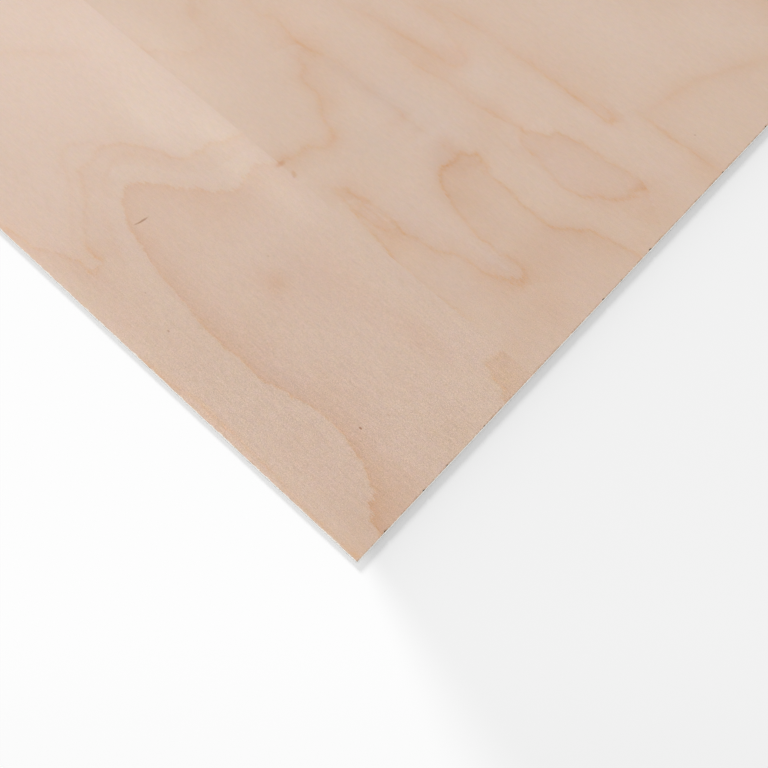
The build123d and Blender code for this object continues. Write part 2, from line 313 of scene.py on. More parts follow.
MAIN_LEAF_REST = [
    growth_line(DARK_RIGHT, fade=0.6, places=[
        (151, 91, 0.4), (160, 96, 0.4), (176, 97, 0.5), (200, 92, 0.5), (226, 88, 0.6), (240, 80, 0.7),
        (232, 73, 0.6), (214, 67, 0.5)]),
    growth_line(DARK_RIGHT, fade=0.7, group=1, places=[
        (142, 99, 0.3), (160, 104, 0.4), (190, 106, 0.5), (230, 101, 0.6), (266, 92, 0.8), (282, 80, 0.9),
        (272, 70, 0.8), (262, 67, 0.7)]),
    growth_line(DARK_LEFT, fade=0.8, places=[
        (119, 118, 0.3), (140, 121, 0.4), (180, 122, 0.5), (230, 119, 0.6), (280, 110, 0.8), (318, 98, 1.0),
        (330, 86, 1.0), (320, 75, 0.8), (306, 67, 0.7)]),
    growth_line(DARK_RIGHT, fade=0.8, places=[
        (108, 134, 0.3), (130, 138, 0.4), (170, 141, 0.5), (220, 140, 0.6), (270, 133, 0.7),
        (330, 124, 0.9), (390, 116, 1.1), (440, 104, 1.1), (452, 94, 1.2), (440, 84, 1.0), (400, 77, 0.9),
        (370, 67, 0.8)]),
    growth_line(DARK_LEFT, fade=0.8, group=1, places=[
        (107, 137, 0.3), (124, 147, 0.4), (150, 157, 0.5), (200, 161, 0.6), (260, 155, 0.7),
        (330, 146, 0.8), (400, 143, 0.9), (470, 141, 0.8), (540, 147, 0.7), (600, 146, 0.7)]),
    growth_line(DARK_RIGHT, fade=0.9, places=[
        (600, 118, 0.8), (560, 116, 0.9), (520, 111, 1.0), (498, 104, 1.1), (490, 96, 1.2), (500, 87, 1.1),
        (530, 84, 1.0), (566, 82, 0.8), (600, 84, 0.8)]),
    growth_line(DARK_RIGHT, fade=0.8, group=1, places=[
        (600, 107, 0.7), (570, 106, 0.8), (548, 101, 1.0), (542, 96, 1.0), (552, 92, 0.9), (600, 93, 0.7)]),
    growth_line(DARK_LEFT, fade=0.8, group=2, places=[
        (600, 73, 0.6), (560, 74, 0.6), (520, 73, 0.6), (470, 70, 0.6), (430, 67, 0.5)]),
    growth_line(DARK_RIGHT, fade=1.0, places=[
        (0, 232, 0.8), (30, 228, 0.8), (60, 222, 0.9), (90, 211, 1.0), (104, 200, 1.1), (98, 190, 1.0),
        (80, 186, 0.8), (52, 196, 0.7), (26, 208, 0.7), (0, 212, 0.7)]),
    growth_line(DARK_LEFT, fade=0.9, group=1, places=[
        (0, 246, 0.7), (50, 243, 0.7), (100, 236, 0.8), (140, 225, 0.9), (168, 209, 1.0), (172, 196, 1.0),
        (158, 186, 0.9), (140, 180, 0.6), (130, 172, 0.3)]),
    growth_line(DARK_LEFT, fade=0.9, places=[
        (0, 263, 0.6), (70, 261, 0.6), (140, 254, 0.7), (200, 243, 0.8), (250, 226, 0.9), (280, 208, 1.0),
        (284, 193, 1.0), (262, 181, 0.8), (226, 177, 0.6), (196, 176, 0.3)]),
    growth_line(DARK_LEFT, fade=0.8, group=1, places=[
        (0, 279, 0.5), (90, 277, 0.5), (180, 271, 0.6), (270, 259, 0.7), (350, 241, 0.9), (404, 220, 1.0),
        (416, 202, 1.1), (396, 184, 0.9), (350, 172, 0.7), (320, 170, 0.4)]),
    growth_line(DARK_RIGHT, fade=1.0, group=2, places=[
        (600, 232, 0.9), (560, 229, 0.9), (520, 220, 1.0), (490, 208, 1.1), (480, 196, 1.2),
        (492, 184, 1.0), (530, 176, 0.9), (570, 170, 0.8), (600, 171, 0.8)]),
    growth_line(DARK_RIGHT, fade=0.8, places=[
        (600, 215, 0.7), (570, 212, 0.8), (545, 205, 1.0), (536, 197, 1.1), (548, 190, 0.9),
        (600, 187, 0.7)]),
    growth_line(DARK_LEFT, fade=0.8, places=[
        (120, 290, 0.4), (200, 288, 0.5), (300, 281, 0.6), (400, 263, 0.8), (470, 249, 0.8),
        (540, 250, 0.7), (600, 254, 0.7)]),
    growth_line(DARK_LEFT, fade=0.7, group=1, places=[
        (330, 297, 0.4), (400, 286, 0.5), (470, 271, 0.6), (540, 270, 0.6), (600, 274, 0.6)]),
]

# Patches of another tone, a few of them painted light and sheen: place in photograph pixels, reach along and
# across the grain in mm, and the share of red, green and blue that the wood has more there
EDGE_LEAF_TINTS = [
    # painted light and sheen, which make the wood paler far from the corner and palest in a band along the
    # splice;
    # then pale patches elsewhere
    ((20, 30), 75, 55, (0.128, 0.158, 0.197)),
    ((190, 112), 30, 8, (0.06, 0.09, 0.11)),
    ((240, 145), 12, 4.5, (0.04, 0.05, 0.06)),
    ((25, 235), 18, 12, (0.04, 0.03, 0.04)),
    ((150, 120), 14, 5, (0.05, 0.09, 0.10)),
    ((285, 195), 12, 5, (0.055, 0.068, 0.085)),
    ((240, 174), 5, 3, (0.04, 0.07, 0.07)),
    ((75, 290), 8, 4, (0.01, 0.035, 0.045)),
    ((90, 45), 18, 9, (0.02, 0.025, 0.03)),
    ((217, 136), 8, 4, (0.03, 0.05, 0.055)),
    ((60, 185), 8, 5, (0.015, 0.025, 0.03)),
    ((109, 168), 5, 2.5, (0.01, 0.035, 0.06)),
    ((101, 202), 6, 2.5, (0.015, 0.03, 0.045)),
    ((300, 370), 8, 4, (0.01, 0.03, 0.05)),
    ((388, 448), 7, 4, (0.01, 0.02, 0.03)),
    ((222, 310), 7, 4, (0.015, 0.025, 0.04)),
    ((262, 238), 8, 4, (0.012, 0.015, 0.035)),
    # clouds inside the large tongue and between it and the corner
    ((158, 232), 6, 4, (0.02, 0.03, 0.04)),
    ((205, 215), 12, 7, (0.0, -0.02, -0.04)),
    ((205, 275), 8, 5, (0.02, 0.03, 0.05)),
    ((310, 278), 14, 5, (-0.02, -0.05, -0.05)),
    ((276, 283), 3.5, 3.2, (-0.03, -0.09, -0.16)),
    ((345, 280), 14, 5, (0.01, -0.02, -0.03)),
    ((262, 362), 10, 3, (0.0, 0.01, 0.04)),
    ((385, 435), 12, 5, (0.0, 0.01, 0.04)),
    ((395, 495), 9, 8, (-0.01, -0.03, -0.05)),
    ((410, 330), 9, 4, (0.0, -0.03, -0.05)),
    ((285, 300), 9, 5, (-0.005, -0.035, -0.05)),
    ((450, 430), 7, 6, (-0.02, -0.035, -0.06)),
    ((430, 342), 8, 4, (-0.01, -0.03, -0.035)),
    ((358, 520), 7, 6, (-0.03, -0.04, -0.05)),
    ((357, 552), 3, 3, (0.0, -0.03, -0.07)),
    ((257, 275), 5, 4, (0.0, -0.03, -0.03)),
    ((402, 388), 8, 4, (0.0, -0.015, -0.03)),
    ((306, 440), 4, 4, (-0.01, -0.02, -0.04)),
    ((300, 392), 10, 3, (0.0, 0.02, 0.05)),
    ((212, 420), 6, 2, (0.0, -0.02, -0.05)),
    # reddish wood along the long edge
    ((85, 255), 4, 4, (0.0, -0.01, -0.04)),
    ((130, 318), 8, 5, (0.01, -0.02, -0.04)),
    ((125, 275), 6, 3, (0.0, -0.015, -0.035)),
    ((145, 302), 6, 3, (-0.005, -0.02, -0.03)),
    ((170, 383), 5, 1.5, (-0.02, -0.06, -0.10)),
    ((180, 352), 9, 5, (0.0, -0.02, -0.03)),
    ((215, 425), 22, 3, (0.02, 0.0, -0.01)),
    ((310, 470), 16, 6, (0.0, -0.02, -0.03)),
    ((352, 535), 6, 5, (0.0, -0.01, -0.03)),
    # the brown patch where the splice meets the end
    ((503, 375), 5, 4, (0.01, 0.0, -0.05)),
    ((510, 360), 3, 3, (-0.02, -0.04, -0.05)),
]
MAIN_LEAF_TINTS = [
    # painted light and sheen, which make the wood paler far from the corner, with its palest bands
    ((430, 20), 75, 75, (0.03, 0.04, 0.06)),
    ((150, 30), 30, 30, (0.03, 0.03, 0.03)),
    ((215, 62), 12, 6, (0.02, 0.03, 0.045)),
    # the paler wood right beside the splice, and pale patches farther from it
    ((112, 22), 20, 3.5, (0.030, 0.035, 0.042)),
    ((165, 65), 13, 3, (0.018, 0.035, 0.050)),
    ((205, 100), 8, 3, (0.02, 0.02, 0.01)),
    ((250, 136), 8, 3, (0.028, 0.030, 0.034)),
    ((300, 20), 10, 6, (0.03, 0.025, 0.03)),
    ((700, 25), 12, 8, (0.015, 0.03, 0.045)),
    ((402, 250), 5, 3, (0.03, 0.03, 0.02)),
    ((300, 180), 5, 3, (0.02, 0.03, 0.02)),
    ((165, 50), 24, 5, (0.055, 0.09, 0.12)),
    ((620, 30), 32, 12, (0.02, 0.035, 0.065)),
    ((470, 74), 11, 5, (0.015, 0.06, 0.115)),
    ((415, 110), 14, 7, (-0.02, 0.025, 0.10)),
    ((370, 140), 10, 6, (-0.01, 0.01, 0.04)),
    ((415, 225), 14, 5, (-0.01, 0.01, 0.06)),
    ((455, 280), 10, 5, (-0.01, 0.01, 0.05)),
    ((525, 122), 10, 6, (0.03, 0.07, 0.12)),
    ((560, 95), 12, 4, (0.01, 0.065, 0.14)),
    ((605, 125), 8, 4, (0.03, 0.075, 0.15)),
    ((555, 165), 9, 5, (0.0, 0.0, 0.05)),
    ((655, 165), 7, 5, (0.01, 0.02, 0.06)),
    ((582, 90), 5, 1.8, (0.03, 0.08, 0.12)),
    ((610, 175), 6, 3.5, (0.0, 0.005, 0.05)),
    ((640, 198), 4, 2.5, (0.02, 0.055, 0.10)),
    ((485, 258), 6, 2, (0.0, 0.015, 0.04)),
    ((720, 5), 16, 8, (0.02, 0.05, 0.09)),
    # the brown halo beside the loop that comes back to the splice, and the flecks at its end
    ((316, 72), 9, 7, (-0.02, -0.05, -0.08)),
    ((288, 164), 4, 2.5, (-0.01, -0.04, -0.06)),
    ((295, 50), 4, 3, (-0.01, -0.04, -0.04)),
    # the greyish band that the fine line runs in
    ((355, 80), 9, 2.5, (-0.04, -0.045, -0.02)),
    ((386, 101), 6, 2.5, (-0.03, -0.03, -0.03)),
    # the brown of the wisps, and brown beside other lines
    ((372, 213), 6, 2.4, (-0.01, -0.04, -0.05)),
    ((362, 205), 5, 2, (-0.01, -0.035, -0.05)),
    ((343, 190), 3.5, 1.8, (-0.01, -0.03, -0.04)),
    ((447, 143), 3.5, 2.5, (-0.01, -0.05, -0.09)),
    ((330, 103), 3, 3, (-0.01, -0.04, -0.07)),
    ((515, 349), 3.5, 2.5, (-0.01, -0.04, -0.07)),
    ((455, 55), 4, 4, (0.0, -0.05, -0.09)),
    ((700, 172), 5, 4, (0.0, -0.03, -0.06)),
    ((640, 243), 3, 3, (0.0, -0.03, -0.06)),
    ((680, 85), 7, 3, (0.0, -0.02, -0.05)),
    ((391, 236), 3.5, 2.5, (-0.015, -0.05, -0.10)),
    ((331, 139), 3, 3, (0.0, -0.05, -0.11)),
    ((375, 152), 8, 5, (-0.02, -0.015, -0.03)),
    # beside and inside the narrow loop
    ((375, 18), 13, 4, (-0.01, -0.04, -0.06)),
    ((455, 52), 6, 4, (0.0, -0.03, -0.04)),
    # round and inside the large loop
    ((438, 152), 5, 5, (-0.03, -0.05, -0.06)),
    ((465, 170), 9, 5, (-0.03, -0.09, -0.13)),
    ((450, 172), 6, 5, (-0.015, -0.02, -0.03)),
    ((466, 160), 5, 3, (-0.015, -0.02, -0.02)),
    ((436, 166), 2.5, 3.5, (-0.02, -0.01, 0.03)),
    ((480, 212), 10, 4, (-0.02, -0.04, -0.06)),
    ((470, 197), 6, 4, (-0.015, -0.035, -0.065)),
    ((480, 141), 7, 5, (-0.02, -0.035, -0.04)),
    ((500, 262), 6, 3, (-0.03, -0.03, -0.01)),
    ((522, 315), 9, 7, (-0.015, -0.035, -0.055)),
    ((600, 250), 7, 4, (-0.015, -0.03, -0.055)),
    ((570, 228), 8, 5, (-0.03, -0.05, -0.06)),
    ((535, 265), 10, 9, (-0.02, -0.05, -0.08)),
    ((545, 302), 6, 5, (-0.01, -0.04, -0.07)),
    ((560, 318), 6, 5, (-0.01, -0.04, -0.05)),
    ((590, 285), 9, 6, (-0.01, -0.03, -0.02)),
    ((545, 248), 8, 5, (-0.02, -0.035, -0.045)),
    ((597, 240), 7, 3, (-0.01, -0.03, -0.05)),
    ((520, 275), 2.5, 2.5, (-0.005, -0.015, -0.02)),
    ((447, 200), 7, 4, (-0.025, -0.045, -0.045)),
    ((384, 229), 4, 2, (0.0, -0.05, -0.08)),
    ((515, 139), 3, 2, (0.01, 0.04, 0.08)),
    ((525, 345), 7, 5, (-0.01, -0.02, -0.02)),
    # round the closed loop, near the end, and at the top of the splice
    ((603, 205), 7, 3.5, (-0.01, -0.05, -0.07)),
    ((655, 212), 8, 7, (-0.02, -0.06, -0.10)),
    ((662, 190), 5, 3, (-0.01, -0.03, -0.045)),
    ((668, 105), 8, 5, (0.0, -0.02, -0.03)),
    ((718, 175), 8, 5, (0.0, -0.03, -0.05)),
    ((195, 10), 4, 4, (-0.01, -0.03, -0.05)),
]

# Dark specks: the two ends in photograph pixels, half the width in mm and the strength
SPECKS = [
    ((134.5, 224.8), (140.0, 222.3), 0.28, 0.5),
    ((139.5, 222.6), (147.0, 217.8), 0.34, 0.75),
    ((359.6, 427.6), (361.4, 428.8), 0.30, 1.0),
    ((168.0, 330.6), (168.8, 331.4), 0.28, 0.55),
    ((388.0, 414.8), (388.8, 415.2), 0.28, 0.35),
    ((145.0, 292.8), (145.6, 293.2), 0.24, 0.35),
    ((267.8, 256.0), (268.6, 256.2), 0.26, 0.35),
    ((694.6, 135.0), (695.4, 135.2), 0.26, 0.4),
    ((293.2, 177.0), (293.9, 177.2), 0.30, 0.2),
]
FLECKS = [  # red-brown, beside the splice
    ((278.5, 165.2), (282.5, 162.8), 0.90, 1.0),
    ((293.0, 172.3), (295.0, 176.0), 0.72, 0.8),
]

LINE_STEP = 0.25 * MM  # between two samples of a growth line
FIGURE_GROUPS = 3  # lines of different groups may lie close together without disturbing each other
FAR = 20.0  # mm, beyond which a growth line no longer shows
CORE_REACH = 3.0  # mm, how far the sharp part of a line's tone reaches at most
WANDER = 0.9 * MM  # how far the lines that the photograph doesn't show stray at random
WANDER_ALONG, WANDER_ACROSS = 1.6 * WANDER, 0.5 * WANDER
WANDER_TONE = 0.2  # how far their strength strays, as a share
WANDER_STEP = 2.5 * MM
STRONGEST = 2  # strength that a line has at most at any point


def place_on_sheet(along, across):
    """Return x and y of a place given in mm from the photographed end and long edge."""
    return CORNER.x - along * MM, CORNER.y + across * MM


def smooth_path(points, step=LINE_STEP):
    """Return samples of a smooth curve through points of x, y and strength."""
    knots = np.array(points, float)
    padded = np.vstack((2 * knots[0] - knots[1], knots, 2 * knots[-1] - knots[-2]))
    pieces = []
    for k in range(1, len(padded) - 2):
        p0, p1, p2, p3 = padded[k - 1:k + 3]
        count = max(int(np.hypot(*(p2 - p1)[:2]) / step), 1)
        t = (np.arange(count) / count)[:, None]
        pieces.append(0.5 * (2 * p1 + (p2 - p0) * t + (2 * p0 - 5 * p1 + 4 * p2 - p3) * t**2
                             + (3 * p1 - p0 - 3 * p2 + p3) * t**3))
    return np.vstack(pieces + [knots[-1:]])


def line_path(line, rng):
    """Return samples of x, y and strength along a growth line."""
    if line["points"]:
        return smooth_path([(*on_sheet(point[:2]), point[2]) for point in line["points"]])
    path = smooth_path([(*place_on_sheet(*place[:2]), place[2]) for place in line["places"]], WANDER_STEP)
    strays = rng.normal(0, 1, (len(path), 3))
    path[:, 0] += WANDER_ALONG * strays[:, 0]
    path[:, 1] += WANDER_ACROSS * strays[:, 1]
    path[:, 2] *= 1 + WANDER_TONE * strays[:, 2]
    return smooth_path(path)


def figure_fields(lines, xy, rng):
    """Return for each group the distance in mm and the core, fade and two-sided tone at each point.

    With them comes, for each group, how much the distance grows along the grain.
    """
    fields, slants = [], []
    for group in range(FIGURE_GROUPS):
        samples, facts = [], []
        for line in lines:
            if line["group"] == group:
                path = line_path(line, rng)
                heading = np.gradient(path[:, :2], axis=0)
                heading /= np.maximum(np.hypot(heading[:, 0], heading[:, 1]), 1e-9)[:, None]
                tone = np.clip(path[:, 2], 0, STRONGEST)
                same = np.ones(len(path))
                samples.append(path[:, :2])
                facts.append(np.column_stack((
                    heading * line["dark"], tone * line["core"], tone * line["fade"], tone * line["both"],
                    same * line["reach"], same * line["spread"], same * line["shift"])))
        samples, facts = np.vstack(samples), np.vstack(facts)
        tree = kdtree.KDTree(len(samples))
        for number, (x, y) in enumerate(samples):
            tree.insert((x, y, 0), number)
        tree.balance()
        near = np.array([tree.find((x, y, 0))[1:] for x, y in xy])
        index = near[:, 0].astype(int)
        distance = np.minimum(near[:, 1] / MM, FAR)
        offset = xy - samples[index]
        heading_x, heading_y, core, fade, both, reach, spread, shift = facts[index].T
        leftward = heading_x * offset[:, 1] - heading_y * offset[:, 0]
        signed = np.where(leftward >= 0, distance, -distance) - shift
        core_window = np.clip(2 - 2 * distance / CORE_REACH, 0, 1)
        window = np.clip(2 - 2 * distance / FAR, 0, 1)
        fields.append(np.column_stack((
            signed, core * core_window, fade * np.exp(-distance / reach) * window,
            both * np.exp(-distance / spread) * window)))
        slants.append(-heading_y)
    return fields, np.column_stack(slants)


def tint_field(tints, xy):
    """Return the shares of red, green and blue that the patches of another tone give each point."""
    shares = np.ones((len(xy), 3))
    for pixel, along, across, change in tints:
        apart = (xy - np.array(on_sheet(pixel))) / (along * MM, across * MM)
        shares += np.exp(-(apart**2).sum(axis=1))[:, None] * np.array(change)
    return shares


# The leaves' cut edges
OUTLINE_STEP = 0.3 * MM  # between two points of the outline near the photographed corner
OUTLINE_STEP_FAR = 0.9 * MM
OUTLINE_NEAR = 215 * MM  # how far from the corner the finer step reaches
END_ROUGHNESS = 0.025 * MM  # of the cut across the grain
END_STEPS = ((2.6 * MM, END_ROUGHNESS), (0.9 * MM, END_ROUGHNESS), (0.3 * MM, END_ROUGHNESS / 2))
TEAR_STEP = 4.6 * MM  # mean length along the end in which the cut runs in, before it steps out again
TEAR_SPREAD = (0.4, 1.6)  # the shortest and the longest as shares of that mean
TEAR_DEPTH = 0.10 * MM
SIDE_ROUGHNESS = 0.015 * MM  # of the cut along the grain
SIDE_STEPS = ((9 * MM, SIDE_ROUGHNESS / 2), (1.4 * MM, SIDE_ROUGHNESS), (0.6 * MM, SIDE_ROUGHNESS))
PAPER_ROUGHNESS = 0.012 * MM
PAPER_STEPS = ((1.6 * MM, PAPER_ROUGHNESS), (0.5 * MM, PAPER_ROUGHNESS))
CORNER_RADIUS = 0.4 * MM
CORNER_TURNS = np.radians(((22.5,), (45,), (67.5,)))  # where a blunt corner has its points
RIM = 1.0 * MM  # width of the strip between the outline and the regular mesh

# How far the view reaches from the corner, and the mesh's spacing there and beyond
VIEW_ALONG = 203 * MM
VIEW_ACROSS = 214 * MM
EDGE_LEAF_SPACING = (0.55 * MM, 3.0 * MM)
MAIN_LEAF_SPACING = (0.8 * MM, 3.2 * MM)

# The burr of the paper's cut edge: each ring's inset, and its height as a share of the crest's
BURR = ((0.02 * MM, 0.75), (0.06 * MM, 1.0), (0.198 * MM, 1.0), (0.199 * MM, 0.0))
OUTER_RINGS = 4  # of the paper's rings, counted from the bottom, which have no glue on them
PAPER_GRID = (61, 31)  # lines of the paper's regular mesh across x and across y
PAPER_SEED = 31
SIDE_BURR = 0.71 * MM  # mean height of the crest along the grain
END_BURR = 0.60 * MM
BURR_SPREAD = 0.04 * MM
BURR_LOW, BURR_HIGH = 0.3 * MM, 0.695 * MM

# The chips that the knife broke out of the ends, as the solids have them
CHIP_SPACING = 14.0 * MM
CHIP_WIDTH = 1.1 * MM
CHIP_DEPTH = 0.35 * MM
CHIP_CLEARANCE = 3.0 * MM
SMALLEST_CHIP = 0.45
PHOTOGRAPHED_END, FAR_END = 0.5, 0.15  # shifts the chips of one end against those of the other
PLACE_STEP = (5**0.5 - 1) / 2
SIZE_STEP = 2**0.5 - 1


def end_chips(low_y, high_y, phase):
    """Return y, depth and width of each chip in one end of the leaf between two y values."""
    run = high_y - low_y - 2 * CHIP_CLEARANCE
    chips = []
    for number in range(max(round(run / CHIP_SPACING), 1)):
        place = (phase + number * PLACE_STEP) % 1
        size = SMALLEST_CHIP + (1 - SMALLEST_CHIP) * ((phase + number * SIZE_STEP) % 1)
        chips.append((low_y + CHIP_CLEARANCE + run * place, CHIP_DEPTH * size, CHIP_WIDTH * size))
    return chips


def uneven(places, rng, sizes):
    """Return random depths of a rough edge at increasing places, from several pairs of step and depth."""
    total = np.zeros(len(places))
    for step, depth in sizes:
        knots = np.arange(places[0] - step, places[-1] + 2 * step, step)
        total += np.interp(places, knots, rng.normal(0, depth, len(knots)))
    return np.abs(total)


def end_cut(y, low_y, high_y, phase, rng):
    """Return how far the wood's end lies inside the straight cut at each y."""
    depth = uneven(y, rng, END_STEPS)
    count = int((high_y - low_y) / TEAR_STEP * 2) + 2
    steps = np.cumsum(rng.uniform(*TEAR_SPREAD, count)) * TEAR_STEP + low_y
    onward = np.searchsorted(steps, y)
    starts = np.concatenate(((low_y,), steps))
    share = (y - starts[onward]) / (starts[onward + 1] - starts[onward])
    depth += TEAR_DEPTH * rng.uniform(0, 1, len(starts))[onward] * (1 - share)
    for chip_y, chip_depth, chip_width in end_chips(low_y, high_y, phase):
        inside = np.clip(1 - ((y - chip_y) / (chip_width / 2))**2, 0, None)
        depth = np.maximum(depth, chip_depth * np.sqrt(inside))
    return depth


def side_cut(x, rng):
    """Return how far the wood's long edge lies inside the straight cut at each x."""
    return uneven(x, rng, SIDE_STEPS)


def outline(low, high, depths, blunt):
    """Return an outline's points, anticlockwise, each with its side number plus its share of that side.

    The sides are numbered front, right, back and left. depths has a function for each side, which gives
    the depth of the cut at increasing x or y. blunt says which of the corners at the sides' ends are round.
    """
    points, shares = [], []
    corners = np.array(((low.x, low.y), (high.x, low.y), (high.x, high.y), (low.x, high.y)))
    for side in range(4):
        start, stop = corners[side], corners[(side + 1) % 4]
        length = np.hypot(*(stop - start))
        heading = (stop - start) / length
        inward = np.array((-heading[1], heading[0]))
        run = [CORNER_RADIUS if blunt[side - 1] else 0]
        end = length - (CORNER_RADIUS if blunt[side] else 0)
        while run[-1] < end - OUTLINE_STEP_FAR:
            near = np.abs(start + heading * run[-1] - corners[1]).max() < OUTLINE_NEAR
            run.append(run[-1] + (OUTLINE_STEP if near else OUTLINE_STEP_FAR))
        if blunt[side]:
            run.append(end)
        run = np.array(run)
        place = (start + np.outer(run, heading)) @ np.abs(heading)
        order = np.argsort(place)
        depth = np.zeros(len(run))
        depth[order] = depths[side](place[order])
        points.append(start + np.outer(run, heading) + np.outer(depth, inward))
        shares.append(side + run / length)
        if blunt[side]:
            onward = np.array((-inward[1], inward[0]))
            turn = CORNER_TURNS
            centre = stop + CORNER_RADIUS * (inward + onward)
            points.append(centre - CORNER_RADIUS * (np.cos(turn) * inward + np.sin(turn) * onward))
            shares.append(side + 1 - CORNER_RADIUS / length * (1 - turn[:, 0] / (math.pi / 2)) / 2)
    return np.vstack(points), np.concatenate(shares)


def zip_loops(outer, outer_shares, inner, inner_shares):
    """Return the triangles of the strip between two anticlockwise loops of vertex numbers."""
    faces = []
    i, j = 0, 0
    count_outer, count_inner = len(outer), len(inner)
    while i < count_outer or j < count_inner:
        next_outer = outer_shares[i + 1] if i + 1 < count_outer else 4 + outer_shares[0]
        next_inner = inner_shares[j + 1] if j + 1 < count_inner else 4 + inner_shares[0]
        if j == count_inner or i < count_outer and next_outer <= next_inner:
            faces.append((outer[i], outer[(i + 1) % count_outer], inner[j % count_inner]))
            i += 1
        else:
            faces.append((outer[i % count_outer], inner[(j + 1) % count_inner], inner[j]))
            j += 1
    return faces


def slab_mesh(name, rings, shares, low, high, across_x, across_y):
    """Return a mesh of a slab whose top has a regular grid, with the grid's vertices first.

    rings are the loops of its rough edge, from the bottom up and in to the top. across_x and across_y are
    the places of the grid's lines, at the height of the last ring.
    """
    columns, rows, count = len(across_x), len(across_y), len(shares)
    grid_x, grid_y = np.meshgrid(across_x, across_y)
    grid = np.column_stack((grid_x.ravel(), grid_y.ravel(), np.full(columns * rows, rings[-1][0, 2])))
    frame_x, frame_y = across_x[[0, -1, -1, 0]], across_y[[0, 0, -1, -1]]
    base_corners = np.column_stack((frame_x, frame_y, np.full(4, low.z)))
    vertices = np.vstack((grid, *rings, base_corners))

    number = np.arange(columns * rows).reshape(rows, columns)
    quads = np.stack((number[:-1, :-1], number[:-1, 1:], number[1:, 1:], number[1:, :-1]), -1).reshape(-1, 4)
    rim = np.concatenate((number[0, :-1], number[:-1, -1], number[-1, :0:-1], number[:0:-1, 0]))
    share_x, share_y = (across_x - low.x) / (high.x - low.x), (across_y - low.y) / (high.y - low.y)
    rim_shares = np.concatenate((share_x[:-1], 1 + share_y[:-1], 3 - share_x[:0:-1], 4 - share_y[:0:-1]))
    loops = columns * rows + np.arange(count * len(rings)).reshape(len(rings), count)
    corners = list(loops[-1, -1] + 1 + np.arange(4))
    faces = [tuple(quad) for quad in quads]
    faces += zip_loops(loops[-1], shares, rim, rim_shares)
    faces += [tuple(face[::-1]) for face in zip_loops(loops[0], shares, corners, np.arange(4.0))]
    faces.append(tuple(corners[::-1]))
    for lower, upper in zip(loops, loops[1:]):
        faces += zip(lower, np.roll(lower, -1), np.roll(upper, -1), upper)

    mesh = bpy.data.meshes.new(name)
    mesh.from_pydata(vertices.tolist(), [], [tuple(int(v) for v in face) for face in faces])
    mesh.validate()
    mesh.update()
    return mesh, vertices


def grid_lines(low, high, near, fine, coarse, reach):
    """Return the places of grid lines from low to high, fine within reach of near and coarse beyond."""
    inner_low, inner_high = low + RIM, high - RIM
    if near >= inner_high:
        middle = max(inner_high - reach, inner_low)
        steps = ((inner_low, middle, coarse), (middle, inner_high, fine))
    else:
        middle = min(inner_low + reach, inner_high)
        steps = ((inner_low, middle, fine), (middle, inner_high, coarse))
    places = [np.linspace(start, stop, max(round((stop - start) / step), 1) + 1)
              for start, stop, step in steps if stop - start > step / 2]
    return np.unique(np.concatenate(places).round(9))


def write_attribute(mesh, name, values):
    """Store one to four numbers for each vertex as an attribute."""
    colours = np.ones((len(mesh.vertices), 4), np.float32)
    colours[:, :values.shape[1]] = values
    mesh.attributes.new(name, "FLOAT_COLOR", "POINT").data.foreach_set("color", colours.ravel())


def show(mesh, node, material):
    """Put a mesh in the scene in place of a node of the same name."""
    piece = bpy.data.objects.new(mesh.name, mesh)
    bpy.context.scene.collection.objects.link(piece)
    mesh.materials.append(material)
    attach(piece, "root")
    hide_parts(node)
    return piece


def ring_at(points, z):
    """Return the loop of the points at one height or at a height for each."""
    return np.column_stack((points, np.broadcast_to(z, len(points))))


def no_cut(places):
    """Return the depth of the splice, which is straight."""
    return np.zeros(len(places))


def dress_leaf(node, material, lines, tints, spacing, splice_side, seed):
    """Make a leaf of wood whose mesh carries its figure, its tints and the distances from its edges."""
    rng = np.random.default_rng(seed)
    low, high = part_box(node)
    side = partial(side_cut, rng=rng)
    end = partial(end_cut, low_y=low.y, high_y=high.y, rng=rng)
    depths = [side, partial(end, phase=PHOTOGRAPHED_END), side, partial(end, phase=FAR_END)]
    depths[splice_side] = no_cut
    front_is_cut = splice_side != 0
    blunt = (front_is_cut, not front_is_cut, not front_is_cut, front_is_cut)
    points, shares = outline(low, high, depths, blunt)
    fine, coarse = spacing
    columns = grid_lines(low.x, high.x, high.x, fine, coarse, VIEW_ALONG)
    rows = grid_lines(low.y, high.y, low.y, fine, coarse, VIEW_ACROSS - (low.y - CORNER.y))
    rings = [ring_at(points, z) for z in (low.z, high.z)]
    mesh, vertices = slab_mesh(node + "_veneer", rings, shares, low, high, columns, rows)
    xy = vertices[:, :2]
    fields, slants = figure_fields(lines, xy, rng)
    for group, values in enumerate(fields):
        write_attribute(mesh, f"figure_{group}", values)
    write_attribute(mesh, "slant", slants)
    write_attribute(mesh, "tint", tint_field(tints, xy))

    from_end = np.minimum(high.x - xy[:, 0], xy[:, 0] - low.x)
    from_side = np.abs(xy[:, 1] - (low.y if front_is_cut else high.y))
    first = len(columns) * len(rows)
    ring = slice(first, first + len(rings) * len(points))
    side_number = np.tile(np.floor(shares).astype(int) % 4, len(rings))
    from_end[ring] = np.where(np.isin(side_number, (1, 3)), 0, from_end[ring])
    from_side[ring] = np.where(side_number == (0 if front_is_cut else 2), 0, from_side[ring])
    write_attribute(mesh, "rim", np.column_stack((from_end, from_side)) / MM)
    return show(mesh, node, material)


